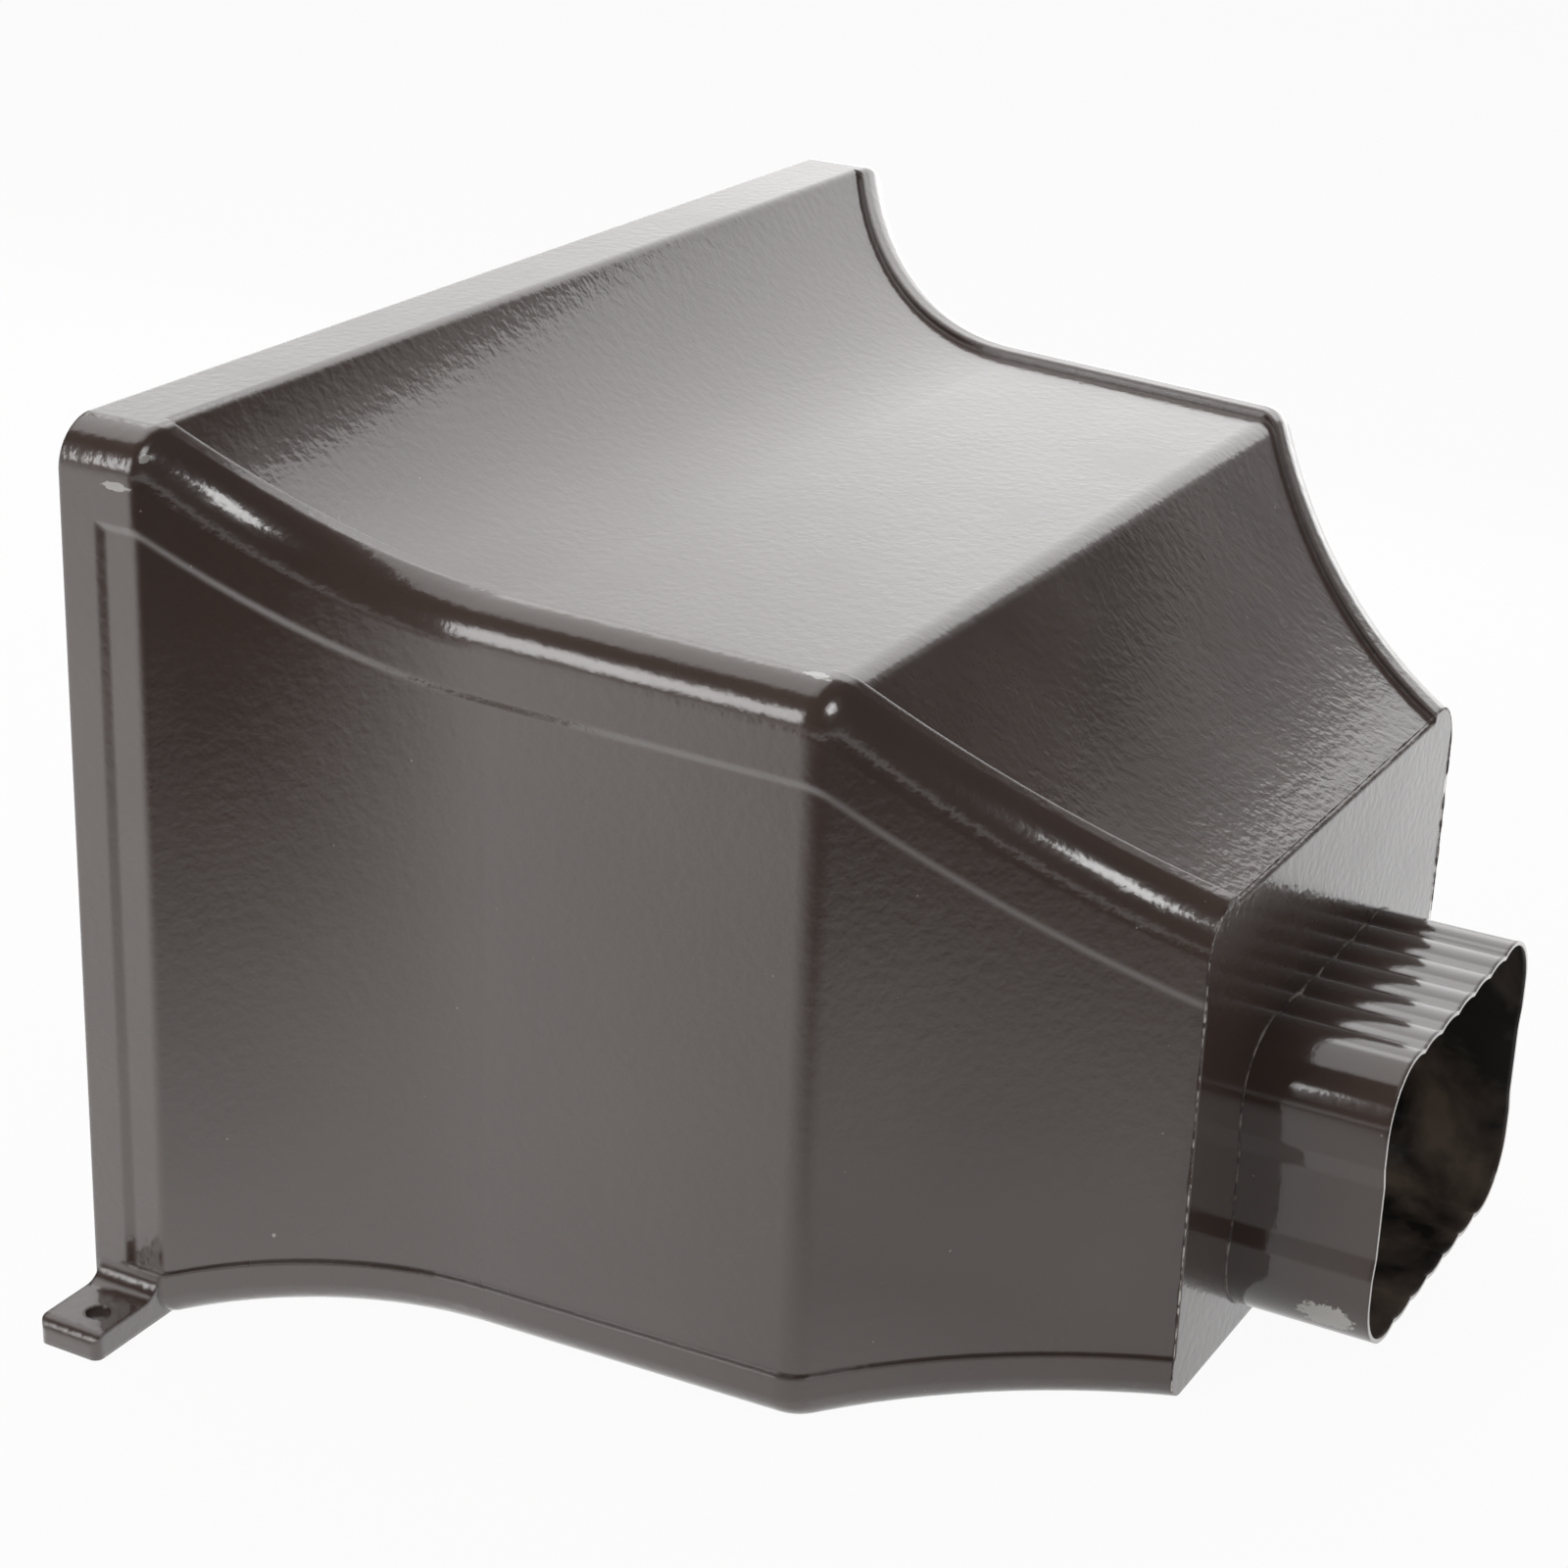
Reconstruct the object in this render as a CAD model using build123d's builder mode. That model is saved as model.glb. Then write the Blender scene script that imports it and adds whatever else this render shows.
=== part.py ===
"""Downspout connector: a cast rainwater head with a fluted outlet tube.

Millimetres. X runs across the wall, Y up the wall and Z out from it. The origin
is on the wall plane, midway between the two wall screws.
"""

import os

from build123d import *

os.makedirs("parts", exist_ok=True)

# Head: the moulding is the same on the front and both sides. A fall is measured
# down from the rim, and a drop is measured in from the face of the rim band.
rim_width = 322.0
rim_depth = 200.0
head_height = 220.0
band_height = 19.0
cove_fall = 80.0
cove_drop = 33.0
shoulder_fall = 155.0
shoulder_drop = 36.0
end_drop = 86.0
end_sweep_radius = 160.0
wall = 5.0

# Rounded edges left by the pattern.
ridge_radius = 10.5
back_radius = 6.0
shoulder_radius = 8.0
band_edge_radius = 2.5
lip_chamfer = 0.8
strip_edge_radius = 1.0
round_bite = 0.03

# Sunk panels.
front_sink = 2.0
front_strip = 14.0
panel_lift = 1.4
side_sink = 1.0
side_strip = 19.0
side_bevel = 2.0
side_foot = 11.0
side_panel_fall = 9.3

# Wall ears.
ear_reach = 21.0
ear_fall = 2.0
ear_height = 16.0
ear_thickness = 6.0
ear_edge_radius = 3.0
ear_root_radius = 5.0
ear_corner_radius = 2.0
screw_hole_radius = 2.75
screw_fall = 11.5
screw_reach = 12.5

# Outlet tube.
tube_width = 95.0
tube_depth = 69.0
tube_corner_radius = 15.5
tube_wall = 1.0
tube_length = 32.5
tube_standoff = 5.5
flute_count = 6
end_flute = 4.5
flute_depth = 0.9
side_flute_width = 27.0
side_flute_depth = 1.2
side_flute_slope = 5.0
flange_width = 8.0
flange_thickness = 1.2
fit_gap = 0.1

rim_y = screw_fall
end_y = rim_y - head_height
half_rim = rim_width / 2
screw_x = half_rim + screw_reach
plan = Plane((0, 0, 0), x_dir=(0, 1, 0), z_dir=(0, 0, -1))
ridge_shift = half_rim - rim_depth
spare = 12.0


def moulding_face(reach, proud=0.0, lift=0.0):
    """Flat half outline in (up, out): straight base, moulding at the given reach.

    The band alone can stand proud and start higher.
    """
    rim = (rim_y, reach + proud)
    band = (rim_y - band_height + lift, reach + proud)
    cove = (rim_y - cove_fall, reach - cove_drop)
    shoulder = (rim_y - shoulder_fall, reach - shoulder_drop)
    end = (end_y, reach - end_drop)
    with BuildLine() as outline:
        Line((rim_y, 0), rim)
        Line(rim, band)
        TangentArc(cove, band, tangent=Vector(*cove) - Vector(*shoulder))
        Line(cove, shoulder)
        RadiusArc(shoulder, end, end_sweep_radius)
        Polyline(end, (end_y, 0), (rim_y, 0))
    face = make_face(outline.edges())
    corner = face.vertices().sort_by_distance((*band, 0))[0]
    face = fillet(corner, band_edge_radius)
    corner = face.vertices().sort_by_distance((*shoulder, 0))[0]
    fillet(corner, shoulder_radius)


with BuildPart() as front_block:
    with BuildSketch(Plane.YZ):
        moulding_face(rim_depth)
    extrude(amount=half_rim)

with BuildPart() as plan_block:
    with BuildSketch(plan):
        moulding_face(half_rim)
    extrude(amount=rim_depth, dir=(0, 0, 1))

with BuildPart() as half:
    add(front_block.part)
    add(plan_block.part, mode=Mode.INTERSECT)

on_ridge = half.edges().filter_by(
    lambda edge: all(abs((edge @ t).X - (edge @ t).Z - ridge_shift) < 0.01 for t in (0, 0.5, 1))
)
ridge = Wire(on_ridge.sort_by(Axis.Y, reverse=True))
on_back = half.faces().sort_by(Axis.Z)[0].edges().filter_by(
    lambda edge: edge.center().X > 1 and edge.bounding_box().size.Y > 0.1
)
back_edge = Wire(on_back.sort_by(Axis.Y, reverse=True))

rim_corner = Plane((half_rim, rim_y, rim_depth), x_dir=(1, 0, 0), z_dir=(0, -1, 0))
back_corner = Plane((half_rim, rim_y, 0), x_dir=(1, 0, 0), z_dir=(0, -1, 0))

with BuildPart() as ridge_round:
    with BuildSketch(rim_corner):
        with BuildLine():
            arc = CenterArc((-ridge_radius, -ridge_radius), ridge_radius + round_bite, 0, 90)
            Polyline(arc @ 1, (-ridge_radius, spare), (spare, spare), (spare, -ridge_radius), arc @ 0)
        make_face()
    sweep(path=ridge, normal=(0, 1, 0))

with BuildPart() as back_round:
    with BuildSketch(back_corner):
        with BuildLine():
            arc = CenterArc((-back_radius, back_radius), back_radius + round_bite, 0, -90)
            Polyline(arc @ 1, (-back_radius, -spare), (spare, -spare), (spare, back_radius), arc @ 0)
        make_face()
    sweep(path=back_edge, normal=(0, 1, 0))

panel_top = rim_y - side_panel_fall
with BuildPart() as side_panel:
    with BuildSketch(rim_corner):
        with BuildLine():
            Polyline(
                (-2 * side_sink, -rim_depth),
                (-2 * side_sink, -side_strip - 2 * side_bevel),
                (side_sink, -side_strip + side_bevel),
                (spare, -side_strip + side_bevel),
                (spare, -rim_depth),
                close=True,
            )
        make_face()
    sweep(path=ridge, normal=(0, 1, 0))
    add(plan_block.part.moved(Location((-side_sink, 0, 0))), mode=Mode.SUBTRACT)
    with BuildSketch(Plane.XY.offset(side_foot)):
        with BuildLine():
            Polyline(
                (half_rim + spare, panel_top + side_bevel),
                (half_rim + side_sink, panel_top + side_bevel),
                (half_rim - 2 * side_sink, panel_top - 2 * side_bevel),
                (0, panel_top - 2 * side_bevel),
                (0, -head_height),
                (half_rim + spare, -head_height),
                close=True,
            )
        make_face()
    extrude(amount=rim_depth, mode=Mode.INTERSECT)

with BuildPart() as strip_round:
    with BuildSketch(rim_corner):
        with BuildLine():
            arc = CenterArc(
                (strip_edge_radius - front_strip, -strip_edge_radius),
                strip_edge_radius + round_bite,
                90,
                90,
            )
            Polyline(
                arc @ 1,
                (-front_strip - spare, -strip_edge_radius),
                (-front_strip - spare, spare),
                (strip_edge_radius - front_strip, spare),
                arc @ 0,
            )
        make_face()
    sweep(path=ridge, normal=(0, 1, 0))
    with Locations((0, rim_y - band_height, 0)):
        Box(
            rim_width * 2,
            head_height * 2,
            rim_depth * 2,
            align=(Align.CENTER, Align.MAX, Align.MIN),
            mode=Mode.INTERSECT,
        )

with BuildPart() as sunk_block:
    with BuildSketch(Plane.YZ):
        moulding_face(rim_depth, front_sink, panel_lift)
    extrude(amount=half_rim)

with BuildPart() as front_panel:
    add(plan_block.part.moved(Location((-front_strip, 0, 0))))
    with Locations((0, rim_y - band_height / 2, 0)):
        Box(
            rim_width,
            head_height * 2,
            rim_depth * 2,
            align=(Align.MIN, Align.MAX, Align.MIN),
            mode=Mode.INTERSECT,
        )
    add(sunk_block.part.moved(Location((0, 0, -front_sink))), mode=Mode.SUBTRACT)

with BuildPart() as cavity:
    with BuildSketch(Plane.YZ):
        moulding_face(rim_depth)
        offset(amount=-wall, mode=Mode.REPLACE)
        with Locations((rim_y - band_height / 2, rim_depth / 2)):
            Rectangle(band_height + 2, rim_depth - 2 * wall)
    extrude(amount=half_rim, both=True)
    with BuildSketch(plan):
        moulding_face(half_rim)
        mirror(about=Plane.XZ)
        offset(amount=-wall, mode=Mode.REPLACE)
        with Locations((rim_y - band_height / 2, 0)):
            Rectangle(band_height + 2, rim_width - 2 * wall)
    extrude(amount=rim_depth, dir=(0, 0, 1), mode=Mode.INTERSECT)

with BuildPart() as ear:
    with BuildSketch(back_corner):
        with BuildLine():
            root = CenterArc(
                (ear_root_radius, ear_thickness + ear_root_radius),
                ear_root_radius + round_bite,
                180,
                90,
            )
            Polyline(root @ 0, (-spare, ear_thickness + ear_root_radius), (-spare, 0), (ear_reach, 0))
            edge = CenterArc(
                (ear_reach - ear_edge_radius, ear_thickness - round_bite - ear_edge_radius),
                ear_edge_radius,
                0,
                90,
            )
            Line((ear_reach, 0), edge @ 0)
            Line(edge @ 1, root @ 1)
        make_face()
    extrude(amount=head_height)
    with BuildSketch(Plane.XY):
        with Locations((half_rim + ear_reach, rim_y - ear_fall)):
            outer = Rectangle(ear_reach + spare, ear_height, align=(Align.MAX, Align.MAX))
        fillet(outer.vertices().group_by(Axis.X)[-1], ear_corner_radius)
    extrude(amount=rim_depth, mode=Mode.INTERSECT)
    with BuildSketch(Plane.XY):
        with Locations((screw_x, 0)):
            Circle(screw_hole_radius)
    extrude(amount=rim_depth, mode=Mode.SUBTRACT)


def tube_face():
    """Fluted outline of the outlet tube, seen along the tube from inside the head."""
    side = tube_width / 2
    front = tube_depth / 2
    first = tube_corner_radius + end_flute - side
    flute_pitch = -2 * first / (flute_count - 1)
    low = front - flute_depth
    with BuildLine() as outline:
        Polyline(
            (-side + side_flute_depth, 0),
            (-side + side_flute_depth, side_flute_width / 2 - side_flute_slope),
            (-side, side_flute_width / 2),
            (-side, front - tube_corner_radius),
        )
        TangentArc(
            (-side, front - tube_corner_radius), (-side + tube_corner_radius, front), tangent=(0, 1)
        )
        TangentArc((-side + tube_corner_radius, front), (first, low), tangent=(1, 0))
        for count in range(flute_count - 1):
            left = first + count * flute_pitch
            ThreePointArc((left, low), (left + flute_pitch / 2, front), (left + flute_pitch, low))
        TangentArc((side - tube_corner_radius, front), (-first, low), tangent=(-1, 0))
        TangentArc(
            (side, front - tube_corner_radius), (side - tube_corner_radius, front), tangent=(0, 1)
        )
        Polyline(
            (side, front - tube_corner_radius),
            (side, side_flute_width / 2),
            (side - side_flute_depth, side_flute_width / 2 - side_flute_slope),
            (side - side_flute_depth, 0),
        )
        mirror(about=Plane.XZ)
    make_face(outline.edges())


tube_z = tube_standoff + tube_depth / 2
floor_y = end_y + wall
tube_start = Plane((0, floor_y, tube_z), x_dir=(1, 0, 0), z_dir=(0, -1, 0))

with BuildPart() as head_casting:
    add(half.part)
    for tool in (ridge_round, back_round, side_panel, front_panel, strip_round):
        add(tool.part, mode=Mode.SUBTRACT)
    add(ear.part)
    mirror(about=Plane.YZ)
    add(cavity.part, mode=Mode.SUBTRACT)
    with BuildSketch(tube_start):
        tube_face()
        offset(amount=fit_gap, mode=Mode.REPLACE)
    extrude(amount=wall, mode=Mode.SUBTRACT)
    rim_edges = head_casting.faces().sort_by(Axis.Y)[-1].edges()
    chamfer(rim_edges, lip_chamfer)

with BuildPart() as outlet_tube:
    with BuildSketch(tube_start):
        tube_face()
    extrude(amount=wall + tube_length)
    with BuildSketch(tube_start):
        with Locations((0, wall + fit_gap - tube_z)):
            Rectangle(
                tube_width + 2 * flange_width,
                tube_standoff + tube_depth + flange_width - wall - fit_gap,
                align=(Align.CENTER, Align.MIN),
            )
    extrude(amount=-flange_thickness)
    with BuildSketch(tube_start.offset(-flange_thickness)):
        tube_face()
        offset(amount=-tube_wall, mode=Mode.REPLACE)
    extrude(amount=flange_thickness + wall + tube_length, mode=Mode.SUBTRACT)

head_casting.part.label = "head_casting"
export_step(head_casting.part, "parts/head_casting.step")
outlet_tube.part.label = "outlet_tube"
export_step(outlet_tube.part, "parts/outlet_tube.step")
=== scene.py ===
# %% [markdown]
# # A painted downspout connector, dressed in Blender
# The object is a cast rainwater head that lies on its wall face, with a short fluted outlet tube
# set in its lower end. The CAD solids are loaded first and stay where they are. Everything after
# that is finish: paint, burrs, chips, light and a camera.

# %% Load the frame
import math

import bmesh
import bpy
from mathutils import Matrix, Vector, noise


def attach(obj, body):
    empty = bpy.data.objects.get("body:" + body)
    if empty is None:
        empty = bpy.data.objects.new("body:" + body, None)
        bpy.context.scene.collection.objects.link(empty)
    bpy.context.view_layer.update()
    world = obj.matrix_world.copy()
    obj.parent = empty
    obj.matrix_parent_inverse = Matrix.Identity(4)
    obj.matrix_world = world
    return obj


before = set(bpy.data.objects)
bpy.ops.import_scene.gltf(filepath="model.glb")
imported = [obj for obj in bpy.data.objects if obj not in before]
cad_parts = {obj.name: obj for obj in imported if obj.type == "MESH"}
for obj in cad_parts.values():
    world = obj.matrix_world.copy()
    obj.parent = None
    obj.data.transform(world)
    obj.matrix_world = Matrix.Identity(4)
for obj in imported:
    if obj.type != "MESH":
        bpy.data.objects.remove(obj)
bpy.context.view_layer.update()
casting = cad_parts["head_casting"]
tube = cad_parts["outlet_tube"]
MM = 0.001

# %% [markdown]
# ## Camera
# The picture was taken from the lower left of the part, a little above it, with a short telephoto
# lens. The eye, the three turns and the lens were worked out from the outline of the part in the
# picture. A camera aimed by a Track To constraint has no roll, so its matrix is built here from its
# right, up and back directions instead.

# %% Camera
EYE_MM = (-664.8, -425.4, 394.6)
AZIMUTH, ELEVATION, ROLL = (math.radians(a) for a in (-61.85, 22.28, 2.16))
LENS_MM = 78.22


def direction(azimuth, elevation):
    """Unit vector towards an azimuth (0 is down the wall, 90 is along X) and an elevation."""
    flat = math.cos(elevation)
    return Vector((math.sin(azimuth) * flat, -math.cos(azimuth) * flat, math.sin(elevation)))


back = direction(AZIMUTH, ELEVATION)
level = Vector((0, 0, 1)).cross(back).normalized()
upright = back.cross(level)
right = math.cos(ROLL) * level + math.sin(ROLL) * upright
up = back.cross(right)
lens = bpy.data.cameras.new("studio_camera")
lens.lens, lens.sensor_width = LENS_MM, 36
lens.clip_start, lens.clip_end = 0.01, 80
camera = bpy.data.objects.new("studio_camera", lens)
bpy.context.scene.collection.objects.link(camera)
turn = Matrix((right, up, back)).transposed().to_4x4()
camera.matrix_world = Matrix.Translation(Vector(EYE_MM) * MM) @ turn
bpy.context.scene.camera = camera
print("camera at", [round(v, 3) for v in camera.location], "lens", LENS_MM)

# %% [markdown]
# ## Colours and nodes
# Paint colours are written as sRGB hex, because that is what a colour picker shows, and Blender's
# shaders want linear values. One function converts them. A second one adds a shader node, sets it
# up and links it, so that each material below reads as a list of what it is made of.


# %% Colour and node helpers
def linear(hex_colour):
    """sRGB hex such as "4f423e" to linear RGBA."""
    channels = [int(hex_colour[i : i + 2], 16) / 255 for i in (0, 2, 4)]
    return (*(c / 12.92 if c <= 0.04045 else ((c + 0.055) / 1.055) ** 2.4 for c in channels), 1)


def add_node(tree, kind, inputs=None, **settings):
    """Adds a node. inputs maps a socket to a value, or to another node's output to link from."""
    node = tree.nodes.new(kind)
    for name, value in settings.items():
        setattr(node, name, value)
    for socket, value in (inputs or {}).items():
        if isinstance(value, bpy.types.NodeSocket):
            tree.links.new(value, node.inputs[socket])
        else:
            node.inputs[socket].default_value = value
    return node


def new_material(name):
    """An empty node material and its tree."""
    material = bpy.data.materials.new(name)
    material.use_nodes = True
    material.node_tree.nodes.clear()
    return material, material.node_tree


def per_metre(size_mm):
    """Texture scale that gives features of about this size."""
    return 1 / (size_mm * MM)


print("scale for 2 mm features:", per_metre(2))

# %% [markdown]
# ## Layers that both paints share
# Head and tube wear the same sprayed brown gloss enamel. Sprayed paint dries with orange peel, a
# soft ripple one to three millimetres wide, and the ripple frays the edge of every reflection. Paint
# also builds up on edges, so they look rounder than the metal under it: the Bevel node bends the
# normals near an edge to show that. Dust that fell in the wet paint leaves pale pin points. The real
# ones are about 0.2 mm across, too fine for the picture, so they are drawn at 0.6 mm.

# %% Paint colour
PAINT_BROWN, PAINT_LIGHT = "4c3c36", "584841"
DUST_GREY, BARE_METAL = "a79f98", "c2beb9"
CLOUD_MM = 45
SPECK_GAP_MM, SPECK_RADIUS_MM, SPECK_COVER = 11, 0.3, 0.8


def paint_colour(tree, place):
    """Brown with faint clouds and dust specks."""
    cloud = add_node(
        tree, "ShaderNodeTexNoise", {"Vector": place, "Scale": per_metre(CLOUD_MM), "Detail": 2.0}
    )
    tone = add_node(tree, "ShaderNodeMapRange", {0: cloud.outputs["Fac"], 1: 0.2, 2: 0.8})
    brown = add_node(
        tree,
        "ShaderNodeMix",
        {0: tone.outputs[0], 6: linear(PAINT_BROWN), 7: linear(PAINT_LIGHT)},
        data_type="RGBA",
    )
    cells = add_node(
        tree, "ShaderNodeTexVoronoi", {"Vector": place, "Scale": per_metre(SPECK_GAP_MM)}
    )
    grain = SPECK_RADIUS_MM / SPECK_GAP_MM
    dot = add_node(
        tree,
        "ShaderNodeMapRange",
        {0: cells.outputs["Distance"], 1: grain, 2: grain / 2, 3: 0.0, 4: SPECK_COVER},
    )
    return add_node(
        tree,
        "ShaderNodeMix",
        {0: dot.outputs[0], 6: brown.outputs[2], 7: linear(DUST_GREY)},
        data_type="RGBA",
    ).outputs[2]


print("specks", SPECK_RADIUS_MM, "mm, about", SPECK_GAP_MM, "mm apart")

# %% Paint surface
PAINT_EDGE_MM = 1.3
FINER, FLATTER = 2.7, 3


def paint_ripple(tree, place, peel_mm, peel_height_mm):
    """Normal of the dried paint: softened edges, broad orange peel and a finer one on it."""
    edge = add_node(tree, "ShaderNodeBevel", {"Radius": PAINT_EDGE_MM * MM}, samples=4)
    normal = edge.outputs[0]
    broad, fine = (peel_mm, peel_height_mm), (peel_mm / FINER, peel_height_mm / FLATTER)
    for size, height in (broad, fine):
        ripple = add_node(
            tree, "ShaderNodeTexNoise", {"Vector": place, "Scale": per_metre(size), "Detail": 1.0}
        )
        normal = add_node(
            tree,
            "ShaderNodeBump",
            {"Height": ripple.outputs["Fac"], "Distance": height * MM, "Normal": normal},
        ).outputs[0]
    return normal


print("paint edge", PAINT_EDGE_MM, "mm")

# %% [markdown]
# Knocks and scuffs are ragged patches at known places. An ellipsoid gives the patch its size, and
# noise pushes its border in and out.

# %% Marks
FRAY_MM = 1.6
MARK_FULL, MARK_GONE = 0.85, 1.0


def mark(tree, place, centre_mm, stretch_mm, ragged):
    """1 inside a ragged ellipsoid round a point, and 0 outside."""
    rough = add_node(
        tree, "ShaderNodeTexNoise", {"Vector": place, "Scale": per_metre(FRAY_MM), "Detail": 3.0}
    )
    offset = add_node(
        tree,
        "ShaderNodeVectorMath",
        {0: place, 1: [c * MM for c in centre_mm]},
        operation="SUBTRACT",
    )
    unit = add_node(
        tree,
        "ShaderNodeVectorMath",
        {0: offset.outputs[0], 1: [s * MM for s in stretch_mm]},
        operation="DIVIDE",
    )
    far = add_node(tree, "ShaderNodeVectorMath", {0: unit.outputs[0]}, operation="LENGTH")
    fray = add_node(
        tree,
        "ShaderNodeMath",
        {0: rough.outputs["Fac"], 1: ragged, 2: far.outputs["Value"]},
        operation="MULTIPLY_ADD",
    )
    full, gone = MARK_FULL + ragged / 2, MARK_GONE + ragged / 2
    return add_node(
        tree, "ShaderNodeMapRange", {0: fray.outputs[0], 1: full, 2: gone, 3: 1.0, 4: 0.0}
    ).outputs[0]


print("marks fray by", FRAY_MM, "mm")

# %% [markdown]
# ## Gloss enamel on the casting
# The head is cast aluminium, so its paint lies on a slightly rough skin and its orange peel is
# broad. A clear coat over the brown doubles the mirror part, as in the picture. Knocks went through
# the paint: a chip and a nick beside the rim corner, a scrape on the strip by the shoulder and a
# pin-prick low on the side. They are flat marks, so colour is enough for them.

# %% Casting paint
# The enamel gives the eye deep brown with bright, slightly frayed reflections.
PAINT_IOR, COAT_IOR = 1.5, 1.6
PEEL_MM, PEEL_HEIGHT_MM = 2.6, 0.07
HAZE_MM, HAZE_LEAST, HAZE_MOST = 30, 0.16, 0.34
CHIP_RAGGED = 1.7
CHIPS_MM = (
    ((-161.0, -3.7, 189.0), (1.2, 3.2, 1.0)),
    ((-157.5, -8.3, 194.8), (2.0, 0.8, 0.8)),
    ((-116.3, -138.6, 164.2), (1.2, 3.0, 1.6)),
    ((-142.5, -24.0, 17.4), (0.7, 0.7, 0.7)),
)

paint, tree = new_material("gloss_enamel_on_cast_aluminium")
place = add_node(tree, "ShaderNodeTexCoord").outputs["Object"]
colour = paint_colour(tree, place)
for centre, stretch in CHIPS_MM:
    chip = mark(tree, place, centre, stretch, CHIP_RAGGED)
    colour = add_node(
        tree, "ShaderNodeMix", {0: chip, 6: colour, 7: linear(BARE_METAL)}, data_type="RGBA"
    ).outputs[2]
haze = add_node(
    tree, "ShaderNodeTexNoise", {"Vector": place, "Scale": per_metre(HAZE_MM), "Detail": 2.0}
)
gloss = add_node(
    tree,
    "ShaderNodeMapRange",
    {0: haze.outputs["Fac"], 1: 0.1, 2: 0.9, 3: HAZE_LEAST, 4: HAZE_MOST},
)
normal = paint_ripple(tree, place, PEEL_MM, PEEL_HEIGHT_MM)
shader = add_node(
    tree,
    "ShaderNodeBsdfPrincipled",
    {
        "Base Color": colour,
        "Roughness": gloss.outputs[0],
        "IOR": PAINT_IOR,
        "Coat Weight": 1.0,
        "Coat Roughness": 0.1,
        "Coat IOR": COAT_IOR,
        "Normal": normal,
        "Coat Normal": normal,
    },
)
add_node(tree, "ShaderNodeOutputMaterial", {"Surface": shader.outputs["BSDF"]})
casting.data.materials.clear()
casting.data.materials.append(paint)
print("casting paint nodes:", len(tree.nodes))

# %% [markdown]
# ## Gloss enamel on the tube
# The tube is roll-formed sheet, smoother than the casting, so its peel is finer and its reflections
# sharper. Three places differ. The mouth was cut after painting and shows bare metal. The inside is
# near black, with pale smears of dirt and old sealant. The lower corner at the mouth is scuffed
# white. Inside and outside are told apart by whether the normal points to the tube's axis.

# %% Inside of the tube
TUBE_AXIS_MM = (0, 0, 40)
INSIDE_DARK, INSIDE_SMEAR = "1f1c1a", "8a7a6c"
SMEAR_MM = 24

tube_paint, tree = new_material("gloss_enamel_on_rolled_aluminium")
place = add_node(tree, "ShaderNodeTexCoord").outputs["Object"]
facing = add_node(tree, "ShaderNodeNewGeometry").outputs["True Normal"]
colour = paint_colour(tree, place)
arm = add_node(
    tree,
    "ShaderNodeVectorMath",
    {0: place, 1: [c * MM for c in TUBE_AXIS_MM]},
    operation="SUBTRACT",
)
across = add_node(
    tree, "ShaderNodeVectorMath", {0: arm.outputs[0], 1: (1, 0, 1)}, operation="MULTIPLY"
)
outward = add_node(
    tree, "ShaderNodeVectorMath", {0: across.outputs[0], 1: facing}, operation="DOT_PRODUCT"
)
inside = add_node(
    tree, "ShaderNodeMath", {0: outward.outputs["Value"], 1: 0.0}, operation="LESS_THAN"
)
smear = add_node(
    tree,
    "ShaderNodeTexNoise",
    {"Vector": place, "Scale": per_metre(SMEAR_MM), "Detail": 4.0, "Distortion": 0.4},
)
wipe = add_node(tree, "ShaderNodeMapRange", {0: smear.outputs["Fac"], 1: 0.42, 2: 0.66})
# Inside the tube the colour is near black, with pale smears of dirt and old sealant.
inside_tone = add_node(
    tree,
    "ShaderNodeMix",
    {0: wipe.outputs[0], 6: linear(INSIDE_DARK), 7: linear(INSIDE_SMEAR)},
    data_type="RGBA",
)
colour = add_node(
    tree, "ShaderNodeMix", {0: inside.outputs[0], 6: colour, 7: inside_tone.outputs[2]}, data_type="RGBA"
).outputs[2]
print("tube axis in mm:", TUBE_AXIS_MM)

# %% Scuff and cut mouth
SCUFF_MM = ((-46.3, -231.5, 14.0), (4.0, 6.5, 4.5))
SCUFF_WHITE, SCUFF_RAGGED = "e6e2dd", 1.3
MOUTH_Y_MM, MOUTH_DEPTH_MM = -241.0, 0.2
LIP_FACING = -0.9

scuff = mark(tree, place, *SCUFF_MM, SCUFF_RAGGED)
colour = add_node(
    tree, "ShaderNodeMix", {0: scuff, 6: colour, 7: linear(SCUFF_WHITE)}, data_type="RGBA"
).outputs[2]
lip_y = (MOUTH_Y_MM + MOUTH_DEPTH_MM) * MM
lift = add_node(tree, "ShaderNodeSeparateXYZ", {0: facing}).outputs["Y"]
down = add_node(tree, "ShaderNodeMath", {0: lift, 1: LIP_FACING}, operation="LESS_THAN")
along = add_node(tree, "ShaderNodeSeparateXYZ", {0: place}).outputs["Y"]
end = add_node(tree, "ShaderNodeMath", {0: along, 1: lip_y}, operation="LESS_THAN")
cut = add_node(
    tree, "ShaderNodeMath", {0: down.outputs[0], 1: end.outputs[0]}, operation="MULTIPLY"
)
colour = add_node(
    tree, "ShaderNodeMix", {0: cut.outputs[0], 6: colour, 7: linear(BARE_METAL)}, data_type="RGBA"
).outputs[2]
print("cut mouth above y =", round(lip_y, 4))

# %% Tube paint
# On sheet the enamel gives sharp mirror lines along the flutes.
TUBE_PEEL_MM, TUBE_PEEL_HEIGHT_MM = 2.0, 0.012
TUBE_ROUGHNESS, WORN_ROUGHNESS = 0.14, 0.5

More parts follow.
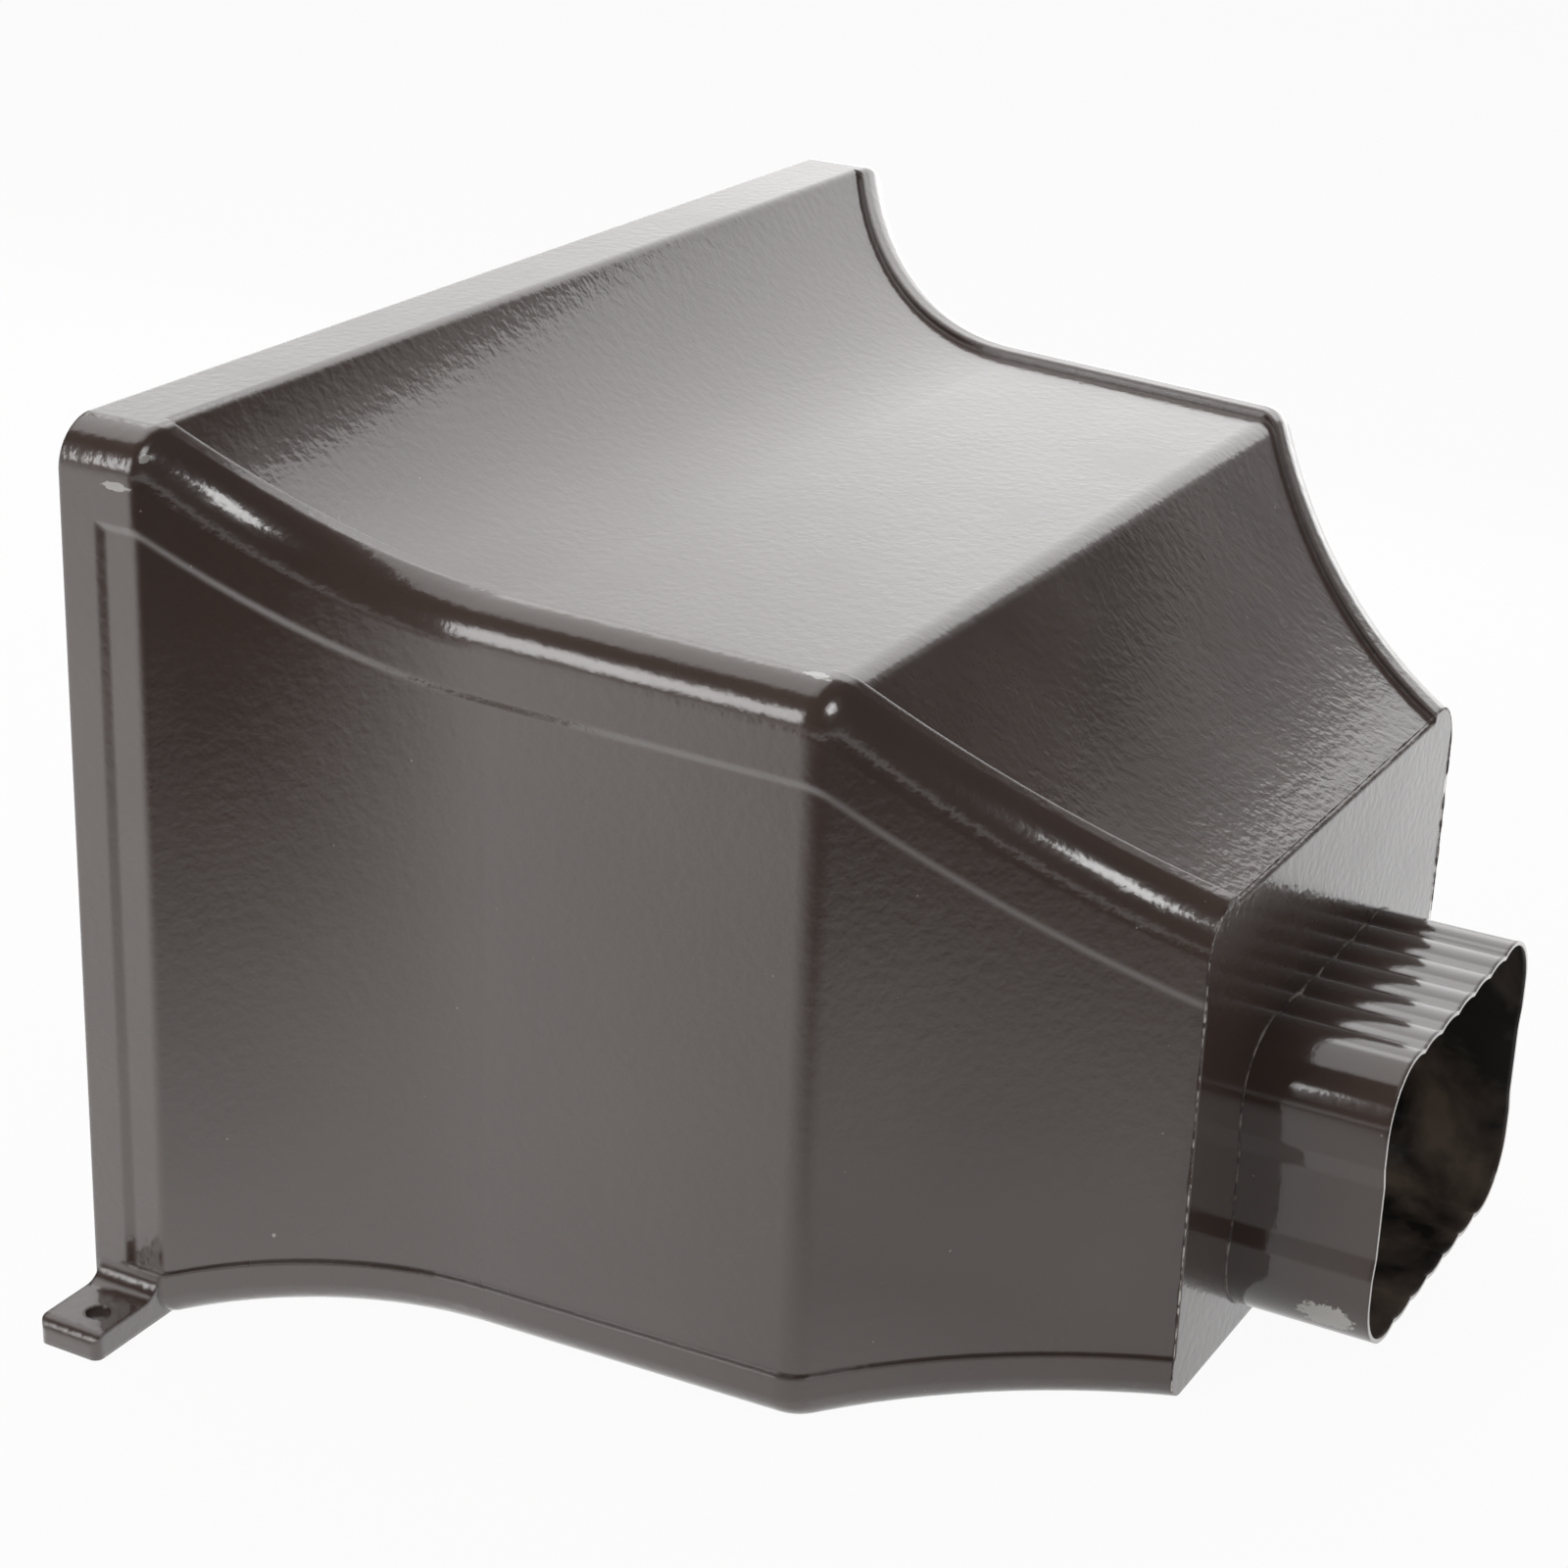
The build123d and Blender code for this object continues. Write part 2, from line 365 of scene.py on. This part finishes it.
worn = add_node(tree, "ShaderNodeMath", {0: inside.outputs[0], 1: scuff}, operation="MAXIMUM")
gloss = add_node(
    tree, "ShaderNodeMapRange", {0: worn.outputs[0], 3: TUBE_ROUGHNESS, 4: WORN_ROUGHNESS}
)
normal = paint_ripple(tree, place, TUBE_PEEL_MM, TUBE_PEEL_HEIGHT_MM)
shader = add_node(
    tree,
    "ShaderNodeBsdfPrincipled",
    {
        "Base Color": colour,
        "Metallic": cut.outputs[0],
        "Roughness": gloss.outputs[0],
        "IOR": PAINT_IOR,
        "Coat Weight": 0.8,
        "Coat Roughness": 0.04,
        "Coat IOR": COAT_IOR,
        "Normal": normal,
        "Coat Normal": normal,
    },
)
add_node(tree, "ShaderNodeOutputMaterial", {"Surface": shader.outputs["BSDF"]})
tube.data.materials.clear()
tube.data.materials.append(tube_paint)
print("tube paint nodes:", len(tree.nodes))

# %% [markdown]
# ## Burr round the end face
# The lower end was sawn off and filed, so its edge carries a ragged lip of torn paint and metal. A
# bump can't make a broken outline, so the lip is a thin bead of mesh. It follows the edge of the end
# face, which is read from the solid, and a noise along it swells and starves the bead.

# %% Bead helpers
BEAD_STEP_MM = 0.7
SMALL_LUMP_SIZE, SMALL_LUMP_SHARE = 0.3, 0.4


def resampled(points, step, closed):
    """Points at even steps along a polyline."""
    ring = list(points) + ([points[0]] if closed else [])
    out, carry = [], 0.0
    for a, b in zip(ring, ring[1:]):
        length = (b - a).length
        while carry < length:
            out.append(a.lerp(b, carry / length))
            carry += step
        carry -= length
    return out


def bead(name, path, closed, thin_mm, thick_mm, lump_mm, material):
    """A ragged four-sided bead along a path that lies across the Y axis."""
    count = len(path)
    shape = bmesh.new()
    rings = []
    for i, point in enumerate(path):
        before = path[(i - 1) % count] if closed or i else path[i]
        after = path[(i + 1) % count] if closed or i < count - 1 else path[i]
        run = (after - before).normalized()
        side = run.cross(Vector((0, 1, 0)))
        small = noise.noise(point / (SMALL_LUMP_SIZE * lump_mm * MM))
        lump = noise.noise(point / (lump_mm * MM)) + SMALL_LUMP_SHARE * small
        reach = max(thin_mm, thin_mm + (thick_mm - thin_mm) * (0.5 + lump)) * MM
        arms = (side, Vector((0, -1, 0)), -side, Vector((0, 1, 0)))
        rings.append([shape.verts.new(point + arm * reach) for arm in arms])
    for i in range(count if closed else count - 1):
        near, far = rings[i], rings[(i + 1) % count]
        for j in range(4):
            shape.faces.new((near[j], near[(j + 1) % 4], far[(j + 1) % 4], far[j]))
    if not closed:
        shape.faces.new(rings[0][::-1])
        shape.faces.new(rings[-1])
    bmesh.ops.recalc_face_normals(shape, faces=shape.faces)
    mesh = bpy.data.meshes.new(name)
    shape.to_mesh(mesh)
    shape.free()
    mesh.materials.append(material)
    piece = bpy.data.objects.new(name, mesh)
    bpy.context.scene.collection.objects.link(piece)
    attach(piece, "root")
    print(name, "points along it:", count, "length in mm:", round(count * BEAD_STEP_MM))


print("bead step", BEAD_STEP_MM, "mm")

# %% Torn edge material
# Filed cast aluminium with shreds of paint left on it gives short bright and dark dashes.
SHRED_MM = 2.2

torn, tree = new_material("filed_cast_aluminium")
place = add_node(tree, "ShaderNodeTexCoord").outputs["Object"]
shred = add_node(
    tree, "ShaderNodeTexNoise", {"Vector": place, "Scale": per_metre(SHRED_MM), "Detail": 3.0}
)
bare = add_node(tree, "ShaderNodeMapRange", {0: shred.outputs["Fac"], 1: 0.45, 2: 0.58})
colour = add_node(
    tree,
    "ShaderNodeMix",
    {0: bare.outputs[0], 6: linear(PAINT_BROWN), 7: linear(BARE_METAL)},
    data_type="RGBA",
)
shader = add_node(
    tree,
    "ShaderNodeBsdfPrincipled",
    {"Base Color": colour.outputs[2], "Metallic": bare.outputs[0], "Roughness": 0.38},
)
add_node(tree, "ShaderNodeOutputMaterial", {"Surface": shader.outputs["BSDF"]})
print("torn edge nodes:", len(tree.nodes))

# %% End burr
EDGE_CLEAR_MM = 3.0
SAME_PLANE_MM = 0.01

end_y = min(v.co.y for v in casting.data.vertices)
on_end = [v.co for v in casting.data.vertices if v.co.y - end_y < SAME_PLANE_MM * MM]


def hull(points):
    """Corners of the smallest convex outline in X and Z, by Andrew's sweep."""
    ordered = sorted({(p.x, p.z) for p in points})
    chains = []
    for row in (ordered, ordered[::-1]):
        chain = []
        for p in row:
            while len(chain) > 1:
                a, b = chain[-2], chain[-1]
                if (b[0] - a[0]) * (p[1] - a[1]) - (b[1] - a[1]) * (p[0] - a[0]) > 0:
                    break
                chain.pop()
            chain.append(p)
        chains += chain[:-1]
    return [Vector((x, end_y, z)) for x, z in chains]


corners = hull(on_end)
lowest = min(range(len(corners)), key=lambda i: (corners[i].z, corners[i].x))
in_turn = corners[lowest:] + corners[:lowest]
off_table = [p for p in in_turn if p.z > EDGE_CLEAR_MM * MM]
edge_path = resampled(off_table, BEAD_STEP_MM * MM, False)
bead("end_burr", edge_path, False, 0.05, 0.34, 5.0, torn)

# %% [markdown]
# ## Sealant line at the tube's root
# Where the tube leaves the end face, old sealant shows as a thin line that breaks at the flutes, and
# its pale patches are a painted highlight, where the fillet would catch the light. It is a bead too.
# Its path is the outer edge of the tube's mouth, moved back to the end face, because the tube has
# the same section all along.

# %% Sealant
# Dried sealant gives a thin matt dark brown line, and its pale patches are a painted highlight.
SEALANT_DARK, SEALANT_HIGHLIGHT = "3a302d", "9a928b"
CRUMB_MM = 3.5

sealant, tree = new_material("dried_sealant_with_painted_highlight")
place = add_node(tree, "ShaderNodeTexCoord").outputs["Object"]
crumb = add_node(
    tree, "ShaderNodeTexNoise", {"Vector": place, "Scale": per_metre(CRUMB_MM), "Detail": 3.0}
)
# The pale patches are a painted highlight, not the sealant's own colour.
highlit = add_node(tree, "ShaderNodeMapRange", {0: crumb.outputs["Fac"], 1: 0.4, 2: 0.62})
colour = add_node(
    tree,
    "ShaderNodeMix",
    {0: highlit.outputs[0], 6: linear(SEALANT_DARK), 7: linear(SEALANT_HIGHLIGHT)},
    data_type="RGBA",
)
shader = add_node(
    tree, "ShaderNodeBsdfPrincipled", {"Base Color": colour.outputs[2], "Roughness": 0.45}
)
add_node(tree, "ShaderNodeOutputMaterial", {"Surface": shader.outputs["BSDF"]})
print("sealant nodes:", len(tree.nodes))

# %% Root bead
# The outer edge of the mouth is where a face of the cut lip meets a face of the outer wall.
WELD_MM = 0.001
WALL_FACING = 0.1

joined = bmesh.new()
joined.from_mesh(tube.data)
bmesh.ops.remove_doubles(joined, verts=joined.verts, dist=WELD_MM * MM)
joined.normal_update()
axis = Vector((TUBE_AXIS_MM[0] * MM, 0, TUBE_AXIS_MM[2] * MM))
outer = {}
for edge in joined.edges:
    lip = [f for f in edge.link_faces if f.normal.y < LIP_FACING]
    wall = [f for f in edge.link_faces if abs(f.normal.y) < WALL_FACING]
    if len(lip) == 1 and len(wall) == 1 and edge.verts[0].co.y < lip_y:
        spoke = edge.verts[0].co - axis
        if spoke.x * wall[0].normal.x + spoke.z * wall[0].normal.z > 0:
            for a, b in (edge.verts, reversed(edge.verts)):
                outer.setdefault(a, []).append(b)
walk, last = [next(iter(outer))], None
while len(walk) < len(outer):
    step = [v for v in outer[walk[-1]] if v is not last][0]
    last = walk[-1]
    walk.append(step)
root_loop = [Vector((v.co.x, end_y, v.co.z)) for v in walk]
joined.free()
root_path = resampled(root_loop, BEAD_STEP_MM * MM, True)
bead("root_bead", root_path, True, 0.1, 0.4, 6.0, sealant)

# %% [markdown]
# ## Table
# The part lies on a white table in a dim studio. The table is white to the camera and keeps a soft
# shadow. It lights the sides of the part from below. In reflections it glows white too, but only in
# a painted pool of light that no lamp casts: beyond a slanting line, and in a spot near the outlet.

# %% Table
# White laminate gives a plain bright ground with a soft shadow, and in reflections a painted pool of
# light.
FLOOR_WHITE = "f2f2f1"
FLOOR_RADIUS, FLOOR_SIDES, FLOOR_DROP_MM = 30.0, 64, 0.2
POOL_TURN, POOL_EDGE, POOL_FADE = 0.4, -0.27, 0.22
POOL_DARK, POOL_GLOW = 0.03, 1.25
NEAR_POOL, NEAR_REACH, NEAR_GLOW = (-0.1, -0.26, 0), 0.3, 0.8
SHOWN_WHITE = 0.95

floor_material, tree = new_material("white_laminate_table")
path = add_node(tree, "ShaderNodeLightPath").outputs
place = add_node(tree, "ShaderNodeTexCoord").outputs["Object"]
axes = add_node(tree, "ShaderNodeSeparateXYZ", {0: place}).outputs
# The pool is painted light: here the table glows in reflections, though no lamp lights it.
slant = add_node(
    tree, "ShaderNodeMath", {0: axes["X"], 1: POOL_TURN, 2: axes["Y"]}, operation="MULTIPLY_ADD"
)
pool = add_node(
    tree,
    "ShaderNodeMapRange",
    {
        0: slant.outputs[0],
        1: POOL_EDGE - POOL_FADE,
        2: POOL_EDGE + POOL_FADE,
        3: POOL_DARK,
        4: POOL_GLOW,
    },
    interpolation_type="SMOOTHSTEP",
)
away = add_node(tree, "ShaderNodeVectorMath", {0: place, 1: NEAR_POOL}, operation="DISTANCE")
near = add_node(
    tree,
    "ShaderNodeMapRange",
    {0: away.outputs["Value"], 1: NEAR_REACH, 2: 0.0, 3: 0.0, 4: NEAR_GLOW},
    interpolation_type="SMOOTHSTEP",
)
painted_pool = add_node(
    tree, "ShaderNodeMath", {0: pool.outputs[0], 1: near.outputs[0]}, operation="MAXIMUM"
)
shine = add_node(
    tree,
    "ShaderNodeMath",
    {0: path["Is Glossy Ray"], 1: path["Is Transmission Ray"]},
    operation="MAXIMUM",
)
mirrored = add_node(
    tree, "ShaderNodeMath", {0: shine.outputs[0], 1: painted_pool.outputs[0]}, operation="MULTIPLY"
)
glow = add_node(
    tree, "ShaderNodeMath", {0: path["Is Camera Ray"], 1: mirrored.outputs[0]}, operation="MAXIMUM"
)
seen = add_node(
    tree, "ShaderNodeMath", {0: path["Is Camera Ray"], 1: shine.outputs[0]}, operation="MAXIMUM"
)
share = add_node(
    tree, "ShaderNodeMath", {0: seen.outputs[0], 1: SHOWN_WHITE}, operation="MULTIPLY"
)
matt = add_node(tree, "ShaderNodeBsdfDiffuse", {"Color": linear(FLOOR_WHITE)})
white = add_node(tree, "ShaderNodeEmission", {"Strength": glow.outputs[0]})
mixed = add_node(
    tree, "ShaderNodeMixShader", {0: share.outputs[0], 1: matt.outputs[0], 2: white.outputs[0]}
)
add_node(tree, "ShaderNodeOutputMaterial", {"Surface": mixed.outputs[0]})

mesh = bpy.data.meshes.new("table_top")
turns = [2 * math.pi * i / FLOOR_SIDES for i in range(FLOOR_SIDES)]
rim = [
    (FLOOR_RADIUS * math.cos(a), FLOOR_RADIUS * math.sin(a), -FLOOR_DROP_MM * MM) for a in turns
]
mesh.from_pydata(rim, [], [range(FLOOR_SIDES)])
floor = bpy.data.objects.new("table_top", mesh)
bpy.context.scene.collection.objects.link(floor)
mesh.materials.append(floor_material)
print("table radius", FLOOR_RADIUS)

# %% [markdown]
# ## World
# A white backdrop stands behind the table, low on the horizon. Above it the studio is dim, so the
# dark parts of the gloss stay dark. The camera sees white all over.

# %% World
DIM, BACKDROP = 0.07, 1.0
BACKDROP_RISE = 0.12

world = bpy.data.worlds.new("dim_studio")
bpy.context.scene.world = world
world.use_nodes = True
tree = world.node_tree
tree.nodes.clear()
path = add_node(tree, "ShaderNodeLightPath").outputs
ray = add_node(tree, "ShaderNodeTexCoord").outputs["Generated"]
rise = add_node(tree, "ShaderNodeSeparateXYZ", {0: ray}).outputs["Z"]
low = add_node(
    tree,
    "ShaderNodeMapRange",
    {0: rise, 1: BACKDROP_RISE, 2: 0.0},
    interpolation_type="SMOOTHSTEP",
)
mirror = add_node(
    tree,
    "ShaderNodeMath",
    {0: path["Is Glossy Ray"], 1: path["Is Transmission Ray"]},
    operation="MAXIMUM",
)
hazy = add_node(
    tree, "ShaderNodeMath", {0: mirror.outputs[0], 1: low.outputs[0]}, operation="MULTIPLY"
)
seen = add_node(
    tree, "ShaderNodeMath", {0: path["Is Camera Ray"], 1: hazy.outputs[0]}, operation="MAXIMUM"
)
bright = add_node(tree, "ShaderNodeMapRange", {0: seen.outputs[0], 3: DIM, 4: BACKDROP})
sky = add_node(
    tree, "ShaderNodeBackground", {"Color": (1, 1, 1, 1), "Strength": bright.outputs[0]}
)
add_node(tree, "ShaderNodeOutputWorld", {"Surface": sky.outputs[0]})
print("world strength", DIM, "and", BACKDROP)

# %% [markdown]
# ## Lamps
# A soft box close behind the part shines in the front of the head, and dims away from the outlet. A
# panel overhead lights the strip beside the upper ridge. A lamp on the left draws the long streak on
# that ridge, and one on the right draws the streak on the lower ridge.


# %% Lamps
def soft_box(name, centre, facing, width, height, radiance, fade=None):
    """A rectangular lamp at a point, facing another. Radiance 1 is white in a perfect mirror.

    fade gives two places across its width, from 0 to 1, and the share of light left after them.
    """
    data = bpy.data.lights.new(name, "AREA")
    data.shape, data.size, data.size_y = "RECTANGLE", width, height
    data.energy = radiance * math.pi * width * height
    if fade:
        data.use_nodes = True
        tree = data.node_tree
        tree.nodes.clear()
        spot = add_node(tree, "ShaderNodeNewGeometry").outputs["Parametric"]
        over = add_node(tree, "ShaderNodeSeparateXYZ", {0: spot}).outputs["X"]
        dim = add_node(
            tree,
            "ShaderNodeMapRange",
            {0: over, 1: fade[0], 2: fade[1], 3: 1.0, 4: fade[2]},
            interpolation_type="SMOOTHSTEP",
        )
        cloth = add_node(tree, "ShaderNodeEmission", {"Strength": dim.outputs[0]})
        add_node(tree, "ShaderNodeOutputLight", {"Surface": cloth.outputs[0]})
    lamp = bpy.data.objects.new(name, data)
    bpy.context.scene.collection.objects.link(lamp)
    lamp.location = centre
    lamp.rotation_mode = "QUATERNION"
    lamp.rotation_quaternion = (Vector(centre) - Vector(facing)).to_track_quat("Z", "Y")
    lamp.visible_camera = False


PART_MIDDLE = Vector((0, -0.1, 0.12))


def round_the_part(azimuth, elevation, distance):
    """A lamp's place, in degrees and metres from the middle of the part."""
    return PART_MIDDLE + distance * direction(math.radians(azimuth), math.radians(elevation))


BACK_FADE = (0.35, 0.62, 0.73)
soft_box("back_soft_box", (0.57, 0.26, 0.56), (0, 0.26, 0.5), 1.07, 0.86, 1.52, BACK_FADE)
soft_box("back_edge", (0.57, -0.325, 0.5), (0, -0.325, 0.45), 0.1, 0.74, 0.22)
soft_box("roof_soft_box", (0.25, 0.4, 1.05), (0.25, 0.4, 0), 1.2, 1.1, 1.3)
soft_box("left_strip", round_the_part(244, 22, 1.2), PART_MIDDLE, 0.55, 0.42, 4.8)
soft_box("right_key", round_the_part(347, 34, 1.3), PART_MIDDLE, 0.42, 0.24, 7.0)
bpy.context.scene.view_settings.view_transform = "Standard"
